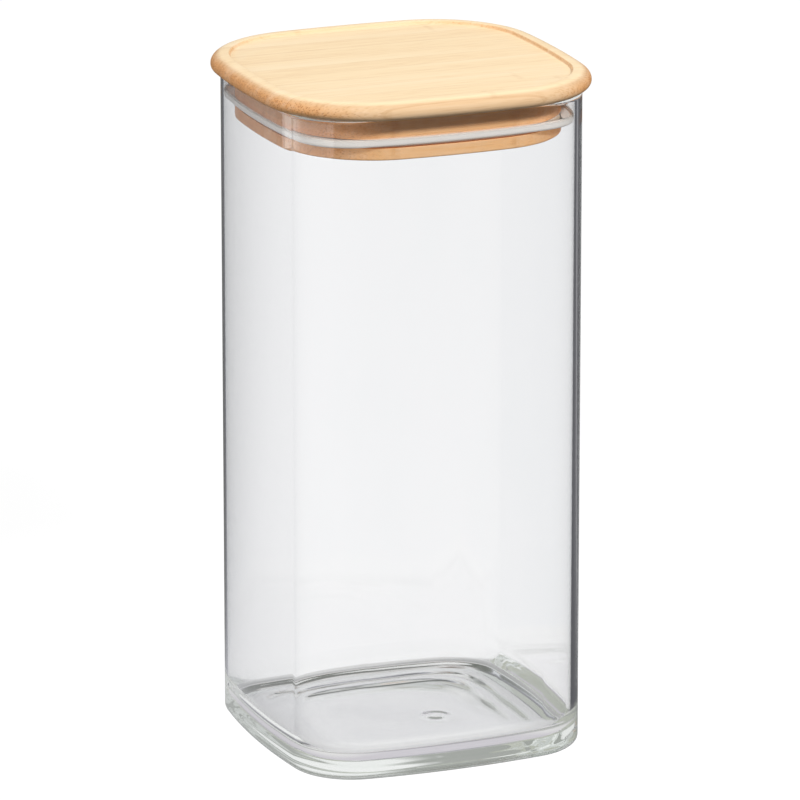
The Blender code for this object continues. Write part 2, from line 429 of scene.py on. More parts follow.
def spin_left(centre, angle, steps):
    """Spins what is selected anticlockwise, seen from above; Spin itself turns the other way."""
    bpy.ops.mesh.spin(steps=steps, angle=-angle, center=centre, axis=(0, 0, 1))


def spin_outline(half, corner, side_radius, height):
    """Spins one point of the new plane, arc by arc, into a square with round corners and bowed sides.

    Each side is an arc of the side radius, and each corner arc is tangent to the sides next to it.
    """
    reach = side_radius - half
    spare = (side_radius - corner) ** 2 - reach**2 / 2
    corner_centre = (math.sqrt(2 * spare) - reach) / 2
    turn = math.atan2(corner_centre, corner_centre + reach)
    bm = bmesh.from_edit_mesh(bpy.context.edit_object.data)
    fresh = [vert for vert in bm.verts if vert.select]
    kept = max(fresh, key=lambda vert: vert.co.x - vert.co.y)
    start = Vector((side_radius * math.cos(turn) - reach, -side_radius * math.sin(turn), height))
    move = start - kept.co
    bpy.ops.mesh.select_mode(type="VERT")
    for vert in fresh:
        vert.select_set(vert != kept)
    bmesh.update_edit_mesh(bpy.context.edit_object.data)
    bpy.ops.mesh.delete(type="VERT")
    bm = bmesh.from_edit_mesh(bpy.context.edit_object.data)
    loose = [vert for vert in bm.verts if not vert.link_edges]
    for vert in loose:
        vert.select_set(True)
    bmesh.update_edit_mesh(bpy.context.edit_object.data)
    bpy.ops.transform.translate(value=move)
    side_centre = Vector((-reach, 0.0, height))
    arc_centre = Vector((corner_centre, corner_centre, height))
    for quarter in range(4):
        quarter_turn = Matrix.Rotation(quarter * math.pi / 2, 3, "Z")
        spin_left(quarter_turn @ side_centre, 2 * turn, SIDE_STEPS)
        spin_left(quarter_turn @ arc_centre, math.pi / 2 - 2 * turn, CORNER_STEPS)
    bpy.ops.mesh.select_linked()
    bpy.ops.mesh.remove_doubles(threshold=MERGE_DISTANCE)


def wall_rises(total, count):
    """Rises of a wall, with a thin one at each end that keeps the shading of its rounded edges off it."""
    thin = math.copysign(EDGE_STEP, total)
    return [thin, *[(total - 2 * thin) / count] * count, thin]


def new_slab(name, half, corner, side_radius, bottom, rises):
    """A closed block with that outline, raised step by step from its bottom, left in edit mode."""
    obj = new_plane(name, 2 * half, bottom)
    start_edit(obj)
    bpy.ops.mesh.select_all(action="SELECT")
    spin_outline(half, corner, side_radius, bottom)
    bpy.ops.mesh.edge_face_add()
    extrude_cap(rises)
    bpy.ops.mesh.select_all(action="SELECT")
    bpy.ops.mesh.normals_make_consistent(inside=False)
    return obj


def select_cap(height, facing):
    """Selects the one wide face at a height that looks up (1) or down (-1)."""
    def is_cap(face):
        level = abs(face.calc_center_median().z - height) < MERGE_DISTANCE
        return level and len(face.verts) >= CAP_LEAST_CORNERS and face.normal.z * facing > LEVEL_NORMAL
    select_where(is_cap)


def inset_steps(steps):
    """Insets the selected cap once for each step: how far inwards, and how far along its normal."""
    for inward, rise in steps:
        bpy.ops.mesh.inset(thickness=inward, depth=rise, use_even_offset=True)


def arc_from_wall(inward, rise, count):
    """Steps of a quarter round that starts along the wall and ends level."""
    angles = [math.pi / 2 * index / count for index in range(count + 1)]
    return [
        (inward * (math.cos(a) - math.cos(b)), rise * (math.sin(b) - math.sin(a)))
        for a, b in zip(angles, angles[1:])
    ]


def arc_to_wall(inward, rise, count):
    """Steps of a quarter round that starts level and ends along the wall."""
    return arc_from_wall(inward, rise, count)[::-1]


def fade(value, start, end):
    """Goes smoothly from 0, at the start value, to 1, at the end value."""
    share = min(max((value - start) / (end - start), 0.0), 1.0)
    return share * share * (3 - 2 * share)


def spread(place):
    """How far out a point lies on the floor: 0 in the middle and about 1 at the outside of the wall."""
    total = abs(place.x) ** PLAN_SQUARENESS + abs(place.y) ** PLAN_SQUARENESS
    return total ** (1 / PLAN_SQUARENESS) / JAR_HALF


def weigh(obj, name, where, weight_at):
    """Gives the piece a vertex group for one region, whose weights follow the points' places."""
    group = obj.vertex_groups.new(name=name)
    for vertex in obj.data.vertices:
        weight = weight_at(vertex.co) if where(vertex.co) else 0.0
        if weight > 0:
            group.add([vertex.index], min(weight, 1.0), "REPLACE")


def displace(obj, group, strength, wave_size=None):
    """Lifts the points of a vertex group by their weights, evenly or in soft waves, and applies it."""
    make_active(obj)
    modifier = obj.modifiers.new(group, "DISPLACE")
    modifier.vertex_group = group
    modifier.direction = "Z"
    modifier.strength = strength
    modifier.mid_level = 0.0
    if wave_size:
        clouds = bpy.data.textures.new(group, "CLOUDS")
        clouds.noise_scale = wave_size
        clouds.noise_depth = 0
        modifier.texture = clouds
        modifier.texture_coords = "LOCAL"
        modifier.mid_level = 0.5
    bpy.ops.object.modifier_apply(modifier=modifier.name)


def extrude_cap(rises):
    for rise in rises:
        bpy.ops.mesh.extrude_region_move(TRANSFORM_OT_translate={"value": (0.0, 0.0, rise)})


def grid_fill_cap():
    """Swaps the selected wide face for an even, fine grid of quads."""
    bpy.ops.mesh.delete(type="ONLY_FACE")
    bpy.ops.mesh.select_mode(type="EDGE")
    mesh = bpy.context.edit_object.data
    bm = bmesh.from_edit_mesh(mesh)
    for edge in bm.edges:
        edge.select_set(edge.is_boundary)
    bmesh.update_edit_mesh(mesh)
    bpy.ops.mesh.fill_grid(span=SIDE_STEPS + CORNER_STEPS, offset=SIDE_STEPS + CORNER_STEPS // 2)
    bpy.ops.mesh.subdivide(number_cuts=1)


def finish_piece(obj, material, body, node):
    end_edit()
    make_active(obj)
    bpy.ops.object.shade_smooth_by_angle(angle=SMOOTH_ANGLE)
    obj.data.materials.clear()
    obj.data.materials.append(material)
    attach(obj, body)
    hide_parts(node)


def make_glass_jar(material):
    obj = new_slab(
        "jar_glass", JAR_HALF, JAR_CORNER, JAR_SIDE_RADIUS, HEEL_ROUND,
        wall_rises(JAR_HEIGHT - LIP_ROUND - HEEL_ROUND, WALL_RINGS),
    )
    select_cap(HEEL_ROUND, -1)
    inset_steps(arc_from_wall(HEEL_ROUND, HEEL_ROUND, ARC_STEPS))
    inset_steps([(EDGE_STEP, 0.0), *[(FOOT_WIDTH / FOOT_STEPS, 0.0)] * FOOT_STEPS])
    grid_fill_cap()

    select_cap(JAR_HEIGHT - LIP_ROUND, 1)
    inset_steps(arc_from_wall(LIP_ROUND, LIP_ROUND, SMALL_ARC_STEPS))
    inset_steps([(WALL - 2 * LIP_ROUND, 0.0)])
    inset_steps(arc_to_wall(LIP_ROUND, -LIP_ROUND, SMALL_ARC_STEPS))
    wall_height = JAR_HEIGHT - LIP_ROUND - FLOOR - FILLET_RISE
    extrude_cap(wall_rises(-wall_height, WALL_RINGS))
    inset_steps(arc_from_wall(FLOOR_FILLET, -FILLET_RISE, FILLET_STEPS))
    inset_steps([(EDGE_STEP, 0.0)])
    grid_fill_cap()
    end_edit()

    def on_underside(place):
        return place.z < MERGE_DISTANCE and spread(place) < DOME_EDGE

    def on_floor(place):
        inside = spread(place) < 1 - WALL / JAR_HALF
        return inside and FLOOR - MERGE_DISTANCE < place.z < FLOOR + FILLET_RISE

    def dome(place):
        share = spread(place)
        ripple = math.sin(2 * math.pi * share / RIPPLE_LENGTH)
        ripple *= fade(share, DOME_EDGE, DOME_EDGE - RIPPLE_LENGTH)
        ripple *= fade(share, DOME_FLAT, DOME_FLAT + RIPPLE_FADE)
        return fade(share, DOME_EDGE, DOME_FLAT) * (1 - RIPPLE_SHARE) + RIPPLE_SHARE * (1 + ripple) / 2

    def mark(place):
        out = (place.xy - MARK_PLACE).length / MARK_RADIUS
        return fade(out, *MARK_OUTER_SPAN) * fade(out, *MARK_INNER_SPAN)

    def wave(place):
        return fade(spread(place), *FLOOR_WAVE_SPAN)

    weigh(obj, "underside", on_underside, dome)
    weigh(obj, "floor_mark", on_floor, mark)
    weigh(obj, "floor_waves", on_floor, wave)
    displace(obj, "underside", DOME_DEPTH)
    displace(obj, "floor_mark", -MARK_DEPTH)
    displace(obj, "underside", UNDER_WAVE, UNDER_WAVE_SIZE)
    displace(obj, "floor_waves", FLOOR_WAVE, FLOOR_WAVE_SIZE)
    finish_piece(obj, material, "jar", "glass_jar")


def make_lid_board(material):
    widest = BOARD_UNDERSIDE + NOSE_UNDER_HEIGHT
    rim_flat = RIM_WIDTH - NOSE_TOP_REACH - RIM_ROUND - 2 * EDGE_STEP
    obj = new_slab("lid_board_bamboo", BOARD_HALF, BOARD_CORNER, BOARD_SIDE_RADIUS, widest, [NOSE_FLAT])
    select_cap(widest, -1)
    inset_steps(arc_from_wall(NOSE_UNDER_REACH, NOSE_UNDER_HEIGHT, ARC_STEPS))
    inset_steps([(EDGE_STEP, 0.0)])
    select_cap(widest + NOSE_FLAT, 1)
    inset_steps(arc_from_wall(NOSE_TOP_REACH, BOARD_TOP - widest - NOSE_FLAT, ARC_STEPS))
    inset_steps([(EDGE_STEP, 0.0), (rim_flat, 0.0), (EDGE_STEP, 0.0)])
    inset_steps(arc_to_wall(RIM_ROUND, -RIM_ROUND, SMALL_ARC_STEPS))
    inset_steps(arc_from_wall(RECESS_FILLET, RIM_ROUND - RECESS_DEPTH, SMALL_ARC_STEPS))
    inset_steps([(EDGE_STEP, 0.0)])
    finish_piece(obj, material, "lid", "lid_board")


def make_lid_plug(material):
    groove_bottom = PLUG_BOTTOM + FLANGE_THICKNESS
    groove_top = groove_bottom + GROOVE_HEIGHT
    obj = new_slab(
        "lid_plug_bamboo", PLUG_HALF, PLUG_CORNER, PLUG_SIDE_RADIUS, PLUG_BOTTOM + FLANGE_ROUND,
        wall_rises(FLANGE_THICKNESS - FLANGE_ROUND, 1),
    )
    select_cap(groove_bottom, 1)
    extrude_cap([GROOVE_HEIGHT, PLUG_TOP - groove_top])
    select_cap(PLUG_BOTTOM + FLANGE_ROUND, -1)
    inset_steps(arc_from_wall(FLANGE_ROUND, FLANGE_ROUND, SMALL_ARC_STEPS))
    inset_steps([(EDGE_STEP, 0.0)])

    def in_groove(face):
        return groove_bottom < face.calc_center_median().z < groove_top
    select_where(in_groove)
    bpy.ops.mesh.extrude_region_shrink_fatten(
        TRANSFORM_OT_shrink_fatten={"value": -GROOVE_DEPTH, "use_even_offset": True}
    )

    def at_groove(vert):
        return min(abs(vert.co.z - groove_bottom), abs(vert.co.z - groove_top)) < MERGE_DISTANCE

    def groove_lip(edge):
        level = any(abs(face.normal.z) > LEVEL_NORMAL for face in edge.link_faces)
        outside = any(
            abs(face.normal.z) < UPRIGHT_NORMAL and not in_groove(face) for face in edge.link_faces
        )
        return level and outside and all(at_groove(vert) for vert in edge.verts)
    select_where(groove_lip, "edges")
    bpy.ops.mesh.bevel(offset=GROOVE_EASE, segments=EASE_STEPS, affect="EDGES")
    finish_piece(obj, material, "lid", "lid_plug")


def seal_rings():
    """The seal's section: whose outline each ring follows, how far it is grown, and its height."""
    root_bottom = PLUG_BOTTOM + FLANGE_THICKNESS + SEAL_FIT
    root_top = root_bottom + GROOVE_HEIGHT - 2 * SEAL_FIT
    root_inner = -GROOVE_DEPTH + SEAL_FIT
    fin_bottom = root_bottom + SEAL_FIN_LIFT
    fin_top = fin_bottom + SEAL_FIN_THICKNESS
    skirt_outer = -SEAL_WALL_GAP
    skirt_inner = skirt_outer - SEAL_SKIRT_THICKNESS
    tip_round = SEAL_SKIRT_THICKNESS / 2
    bend_start = SEAL_OUTER_BEND / 4
    return [
        ("plug", root_inner, root_bottom),
        ("plug", -SEAL_FIT, root_bottom),
        ("plug", SEAL_FIT, fin_bottom),
        ("bore", skirt_inner, fin_bottom),
        ("bore", skirt_inner + tip_round, fin_bottom + bend_start),
        ("bore", skirt_outer, fin_bottom + SEAL_OUTER_BEND),
        ("bore", skirt_outer, SEAL_TOP - tip_round),
        ("bore", skirt_outer - tip_round, SEAL_TOP),
        ("bore", skirt_inner, SEAL_TOP - tip_round),
        ("bore", skirt_inner, fin_top + SEAL_INNER_BEND),
        ("bore", skirt_inner - SEAL_INNER_BEND, fin_top),
        ("plug", -SEAL_FIT, fin_top),
        ("plug", -SEAL_FIT, root_top),
        ("plug", root_inner, root_top),
    ]


def mark_ring(index):
    """Numbers the selected points as one ring of the seal, so that two rings can be bridged."""
    mesh = bpy.context.edit_object.data
    bm = bmesh.from_edit_mesh(mesh)
    ring = bm.verts.layers.int.get("ring") or bm.verts.layers.int.new("ring")
    for vert in bm.verts:
        if vert.select:
            vert[ring] = index
    bmesh.update_edit_mesh(mesh)


def bridge_rings(first, second):
    bpy.ops.mesh.select_mode(type="EDGE")
    bpy.ops.mesh.select_all(action="DESELECT")
    mesh = bpy.context.edit_object.data
    bm = bmesh.from_edit_mesh(mesh)
    ring = bm.verts.layers.int["ring"]
    for edge in bm.edges:
        ends = [vert[ring] for vert in edge.verts]
        edge.select_set(ends[0] == ends[1] and ends[0] in (first, second))
    bmesh.update_edit_mesh(mesh)
    bpy.ops.mesh.bridge_edge_loops()


def make_silicone_seal(material):
    outlines = {
        "plug": (PLUG_HALF, PLUG_CORNER, PLUG_SIDE_RADIUS),
        "bore": (JAR_HALF - WALL, JAR_CORNER - WALL, JAR_SIDE_RADIUS - WALL),
    }
    rings = seal_rings()
    obj = new_plane("lid_seal_silicone", 2 * PLUG_HALF, rings[0][2])
    start_edit(obj)
    bpy.ops.mesh.select_all(action="SELECT")
    for index, (kind, growth, height) in enumerate(rings):
        if index:
            bpy.ops.mesh.select_all(action="DESELECT")
            bpy.ops.mesh.primitive_plane_add(size=2 * PLUG_HALF, location=(0.0, 0.0, height))
        spin_outline(*[size + growth for size in outlines[kind]], height)
        mark_ring(index)
    for index in range(len(rings)):
        bridge_rings(index, (index + 1) % len(rings))
    bpy.ops.mesh.select_all(action="SELECT")
    bpy.ops.mesh.normals_make_consistent(inside=False)
    finish_piece(obj, material, "lid", "silicone_seal")


def feed(tree, source, socket):
    """Links an output to a socket, or sets the socket to a number, a place or a colour."""
    if source is None:
        return
    if isinstance(source, bpy.types.NodeSocket):
        tree.links.new(source, socket)
    elif socket.type == "RGBA":
        socket.default_value = (*source[:3], 1.0)
    else:
        socket.default_value = source


def add_node(tree, kind, values=(), **settings):
    """A node with its settings, and its inputs fed by socket name."""
    node = tree.nodes.new("ShaderNode" + kind)
    for name, value in settings.items():
        setattr(node, name, value)
    for name, source in dict(values).items():
        feed(tree, source, node.inputs[name])
    return node


def add_math(tree, operation, first, second=None, third=None, clamp=False):
    node = tree.nodes.new("ShaderNodeMath")
    node.operation = operation
    node.use_clamp = clamp
    for socket, source in zip(node.inputs, (first, second, third)):
        feed(tree, source, socket)
    return node.outputs["Value"]


def add_centred(tree, noise):
    """The noise with its middle moved from a half to 0."""
    return add_math(tree, "SUBTRACT", noise, 0.5)


def add_mix(tree, factor, first, second, blend="MIX"):
    node = tree.nodes.new("ShaderNodeMix")
    node.data_type = "RGBA"
    node.blend_type = blend
    for name, source in (("Factor", factor), ("A", first), ("B", second)):
        socket = next(socket for socket in node.inputs if socket.name == name and socket.enabled)
        feed(tree, source, socket)
    return next(socket for socket in node.outputs if socket.enabled)


def add_fade(tree, value, start, end, low=0.0, high=1.0):
    """Goes smoothly from low, at the start value, to high, at the end value."""
    values = {"Value": value, "From Min": start, "From Max": end, "To Min": low, "To Max": high}
    return add_node(tree, "MapRange", values, interpolation_type="SMOOTHSTEP").outputs["Result"]


def add_fall(tree, value, start, end):
    """Goes smoothly from 1, at the start value, to 0, at the end value."""
    return add_fade(tree, value, start, end, 1.0, 0.0)


def add_stretch(tree, place, stretch):
    """The place with each axis scaled, which squeezes a pattern along it."""
    return add_node(tree, "Mapping", {"Vector": place, "Scale": stretch}).outputs["Vector"]


def add_noise(tree, place, scale, detail=2.0, rough=0.5, stretch=(1.0, 1.0, 1.0)):
    """Noise whose value is about 0 to 1."""
    place = add_stretch(tree, place, stretch)
    values = {"Vector": place, "Scale": scale, "Detail": detail, "Roughness": rough}
    return add_node(tree, "TexNoise", values).outputs["Fac"]


def add_draw(tree, number):
    """A value from 0 to 1 that each number always draws alike."""
    return add_node(tree, "TexWhiteNoise", {"W": number}, noise_dimensions="1D").outputs["Value"]


def split(tree, vector):
    """The X, Y and Z of a place or a direction."""
    return add_node(tree, "SeparateXYZ", {"Vector": vector}).outputs


def blend_shaders(tree, factor, first, second, output):
    """Sends a blend of two shaders to the surface."""
    blend = add_node(tree, "MixShader", {"Fac": factor})
    feed(tree, first, blend.inputs[1])
    feed(tree, second, blend.inputs[2])
    feed(tree, blend.outputs["Shader"], output.inputs["Surface"])


def new_material(name):
    material = bpy.data.materials.new(name)
    material.use_nodes = True
    return material, material.node_tree


def new_group(name, inputs, outputs):
    """An empty node group with named sockets, and its input and output nodes."""
    group = bpy.data.node_groups.new(name, "ShaderNodeTree")
    for label, kind in inputs:
        group.interface.new_socket(label, in_out="INPUT", socket_type="NodeSocket" + kind)
    for label, kind in outputs:
        group.interface.new_socket(label, in_out="OUTPUT", socket_type="NodeSocket" + kind)
    return group, group.nodes.new("NodeGroupInput").outputs, group.nodes.new("NodeGroupOutput").inputs


def use_group(tree, group, values):
    node = tree.nodes.new("ShaderNodeGroup")
    node.node_tree = group
    for name, source in values.items():
        feed(tree, source, node.inputs[name])
    return node.outputs


def make_bamboo_group():
    """Bamboo strips side by side in Y, with fibres along X that end as specks on the cut ends."""
    group, given, out = new_group(
        "bamboo_strips",
        [
            ("Place", "Vector"), ("Facing", "Vector"), ("Strip Width", "Float"), ("Strip Shift", "Float"),
            ("Top Height", "Float"), ("Top And Painted Shade Side", "Float"), ("Top And Painted Shade Color", "Color"), ("Side Color", "Color"),
            ("End Color", "Color"), ("Dark Tint", "Color"), ("Fibre Strength", "Float"),
            ("Speck Strength", "Float"),
        ],
        [("Color", "Color"), ("Roughness", "Float"), ("Height", "Float")],
    )
    place = split(group, given["Place"])
    widths = add_math(group, "DIVIDE", place["Y"], given["Strip Width"])
    across = add_math(group, "ADD", widths, given["Strip Shift"])
    strip = add_math(group, "FLOOR", across)
    strip_tone = add_draw(group, strip)
    to_seam = add_math(group, "PINGPONG", across, 0.5)
    seam = add_fall(group, to_seam, *SEAM_SPAN)

    # Each strip comes from another length of cane, so its fibres are moved along
    moved = add_node(group, "CombineXYZ", {"X": strip_tone, "Z": strip_tone})
    own = add_node(group, "VectorMath", operation="ADD")
    feed(group, given["Place"], own.inputs[0])
    feed(group, moved.outputs["Vector"], own.inputs[1])
    fibre_place = own.outputs["Vector"]
    broad = add_noise(group, fibre_place, **BROAD_GRAIN)
    fibres = add_noise(group, fibre_place, **FIBRES)
    fine = add_noise(group, fibre_place, **FINE_FIBRES)
    bundle_place = add_stretch(group, fibre_place, BUNDLE_STRETCH)
    bundles = add_node(group, "TexVoronoi", {"Vector": bundle_place, "Scale": BUNDLE_SCALE})
    specks = add_fall(group, bundles.outputs["Distance"], *SPECK_SPAN)

    # The cane's joint crosses each strip at its own place as a faint darker band
    joint_draw = add_draw(group, add_math(group, "ADD", strip, JOINT_DRAW))
    joint_place = add_math(group, "MULTIPLY", add_centred(group, joint_draw), JOINT_SPREAD)
    wavy = add_math(group, "MULTIPLY_ADD", fibres, JOINT_WAVE, joint_place)
    to_joint = add_math(group, "ABSOLUTE", add_math(group, "SUBTRACT", place["X"], wavy))
    joint = add_fall(group, to_joint, *JOINT_SPAN)

    # Above the top height, upright faces on the top's side keep only a share of their own colour and take
    # the top colour: on the board this gives the recess walls the top's colour, and on the plug it paints
    # the shade that the board casts on the neck
    facing = split(group, given["Facing"])
    fade_start = add_math(group, "SUBTRACT", given["Top Height"], TOP_FADE)
    above = add_fade(group, place["Z"], fade_start, given["Top Height"], 0.0, TOP_SIDE_SHARE - 1.0)
    outward = add_math(group, "MULTIPLY", facing["Y"], place["Y"])
    outward = add_math(group, "MULTIPLY_ADD", facing["X"], place["X"], outward)
    turned = add_fade(group, add_math(group, "MULTIPLY", outward, given["Top And Painted Shade Side"]), 0.0, TOP_TURN)
    own_share = add_math(group, "MULTIPLY_ADD", above, turned, 1.0)
    end = add_fade(group, add_math(group, "ABSOLUTE", facing["X"]), *END_SPAN)
    end = add_math(group, "MULTIPLY", end, own_share)
    upright = add_fall(group, add_math(group, "MAXIMUM", facing["Z"], 0.0), *TOP_SPAN)
    top = add_math(group, "SUBTRACT", 1.0, add_math(group, "MULTIPLY", upright, own_share))
    color = add_mix(group, top, given["Side Color"], given["Top And Painted Shade Color"])
    color = add_mix(group, end, color, given["End Color"])

    grain = add_math(group, "MULTIPLY", add_centred(group, fibres), given["Fibre Strength"])
    grain = add_math(group, "MULTIPLY_ADD", add_centred(group, broad), BROAD_STRENGTH, grain)
    grain = add_math(group, "MULTIPLY_ADD", add_centred(group, strip_tone), -STRIP_TONE_STRENGTH, grain)
    fine_strength = add_math(group, "MULTIPLY", given["Fibre Strength"], FINE_SHARE)
    grain = add_math(group, "MULTIPLY_ADD", add_centred(group, fine), fine_strength, grain)
    cut = add_math(group, "MULTIPLY_ADD", end, 1.0 - SPECK_SIDE_SHARE, SPECK_SIDE_SHARE)
    marks = add_math(group, "MULTIPLY", add_math(group, "MULTIPLY", specks, cut), given["Speck Strength"])
    marks = add_math(group, "MULTIPLY_ADD", seam, SEAM_DARKNESS, marks)
    marks = add_math(group, "MULTIPLY_ADD", joint, JOINT_DARKNESS, marks)
    dark = add_math(group, "SUBTRACT", marks, grain, clamp=True)
    pale = add_math(group, "MAXIMUM", grain, 0.0)
    color = add_mix(group, dark, color, add_mix(group, 1.0, color, given["Dark Tint"], "MULTIPLY"))
    feed(group, add_mix(group, pale, color, BAMBOO_PALE), out["Color"])

    rough = add_math(group, "MULTIPLY_ADD", fine, FINE_ROUGHNESS, BAMBOO_ROUGHNESS)
    feed(group, add_math(group, "MULTIPLY_ADD", specks, SPECK_ROUGHNESS, rough), out["Roughness"])
    relief = add_math(group, "MULTIPLY_ADD", fine, FINE_RELIEF, fibres)
    feed(group, add_math(group, "MULTIPLY_ADD", marks, -MARK_RELIEF, relief), out["Height"])
    return group


def make_edge_wear_group():
    """Where a piece's rounded edges are rubbed, broken up by noise."""
    group, given, out = new_group(
        "edge_wear",
        [("Place", "Vector"), ("Start", "Float"), ("Full", "Float"), ("Patch Scale", "Float")],
        [("Mask", "Float")],
    )
    bend = add_node(group, "NewGeometry").outputs["Pointiness"]
    edge = add_fade(group, bend, given["Start"], given["Full"])
    patches = add_noise(group, given["Place"], given["Patch Scale"], **PATCHES)
    patches = add_fade(group, patches, *PATCH_SPAN, PATCH_LEAST, 1.0)
    feed(group, add_math(group, "MULTIPLY", edge, patches), out["Mask"])
    return group


def make_handling_group():
    """Faint wipe marks and dust, with the slow waves of a moulded surface as a height."""
    group, given, out = new_group(
        "handling_marks",
        [("Place", "Vector"), ("Mark Scale", "Float"), ("Wave Scale", "Float")],
        [("Marks", "Float"), ("Dust", "Float"), ("Height", "Float")],
    )
    wipes = add_noise(group, given["Place"], given["Mark Scale"], **WIPES)
    feed(group, add_fade(group, wipes, *WIPE_SPAN), out["Marks"])
    dust_scale = add_math(group, "MULTIPLY", given["Mark Scale"], DUST_FINENESS)
    dust = add_noise(group, given["Place"], dust_scale)
    feed(group, add_fade(group, dust, *DUST_SPAN), out["Dust"])
    feed(group, add_noise(group, given["Place"], given["Wave Scale"], **WAVES), out["Height"])
    return group


def add_bump(tree, height, strength, distance):
    values = {"Height": height, "Strength": strength, "Distance": distance}
    return add_node(tree, "Bump", values).outputs["Normal"]


def make_bamboo_material(name, bamboo, wear, gloss, finish):
    material, tree = new_material(name)
    shader = tree.nodes["Principled BSDF"]
    coords = add_node(tree, "TexCoord").outputs
    wood = use_group(tree, bamboo, {
        "Place": coords["Object"],
        "Facing": coords["Normal"],
        "Strip Width": STRIP_WIDTH,
        "Dark Tint": BAMBOO_DARK_TINT,
        "Fibre Strength": FIBRE_STRENGTH,
        "Speck Strength": SPECK_STRENGTH,
        **finish,
    })
    rubbed = use_group(tree, wear, {"Place": coords["Object"], **BAMBOO_WEAR})["Mask"]
    pale = add_math(tree, "MULTIPLY", rubbed, RUBBED_SHARE)
    feed(tree, add_mix(tree, pale, wood["Color"], BAMBOO_RUBBED), shader.inputs["Base Color"])
    polished = add_math(tree, "MULTIPLY_ADD", rubbed, -RUBBED_POLISH, wood["Roughness"])
    feed(tree, polished, shader.inputs["Roughness"])
    feed(tree, add_bump(tree, wood["Height"], *BAMBOO_BUMP), shader.inputs["Normal"])
    shader.inputs["IOR"].default_value = BAMBOO_IOR
    shader.inputs["Specular IOR Level"].default_value = gloss
    return material


def make_silicone_material(handling, wear):
    """Clear at the thin skirt and milky at the fin, with a satin skin that lamp light glows through."""
    material, tree = new_material("seal_silicone")
    shader = tree.nodes["Principled BSDF"]
    coords = add_node(tree, "TexCoord").outputs
    marks = use_group(tree, handling, {"Place": coords["Object"], **SILICONE_HANDLING})
    rubbed = use_group(tree, wear, {"Place": coords["Object"], **SILICONE_WEAR})["Mask"]
    height = split(tree, coords["Object"])["Z"]
    skirt_start = SEAL_BOTTOM + SKIRT_RISE
    thin = add_fade(tree, height, skirt_start, skirt_start + SKIRT_FADE)
    color = add_mix(tree, thin, SILICONE_MILKY, SILICONE_CLEAR)
    dusty = add_math(tree, "MULTIPLY", marks["Dust"], SILICONE_DUST_SHARE)
    color = add_mix(tree, dusty, color, SILICONE_DUST)
    worn = add_math(tree, "MULTIPLY", rubbed, SILICONE_RUBBED_SHARE)
    feed(tree, add_mix(tree, worn, color, SILICONE_RUBBED), shader.inputs["Base Color"])
    rough = add_math(tree, "MULTIPLY_ADD", marks["Marks"], SILICONE_MARK_ROUGHNESS, SILICONE_ROUGHNESS)
    rough = add_math(tree, "MULTIPLY_ADD", marks["Dust"], SILICONE_DUST_ROUGHNESS, rough)
    feed(tree, rough, shader.inputs["Roughness"])
    feed(tree, add_math(tree, "MULTIPLY_ADD", thin, SKIRT_ALPHA - 1.0, 1.0), shader.inputs["Alpha"])
    feed(tree, add_bump(tree, marks["Height"], *SILICONE_BUMP), shader.inputs["Normal"])
    shader.inputs["IOR"].default_value = SILICONE_IOR
    shade = add_mix(tree, thin, SILICONE_SHADOW, SKIRT_SHADOW)
    clear = add_node(tree, "BsdfTransparent", {"Color": shade}).outputs["BSDF"]
    shadow = add_node(tree, "LightPath").outputs["Is Shadow Ray"]
    blend_shaders(tree, shadow, shader.outputs["BSDF"], clear, tree.nodes["Material Output"])
    return material


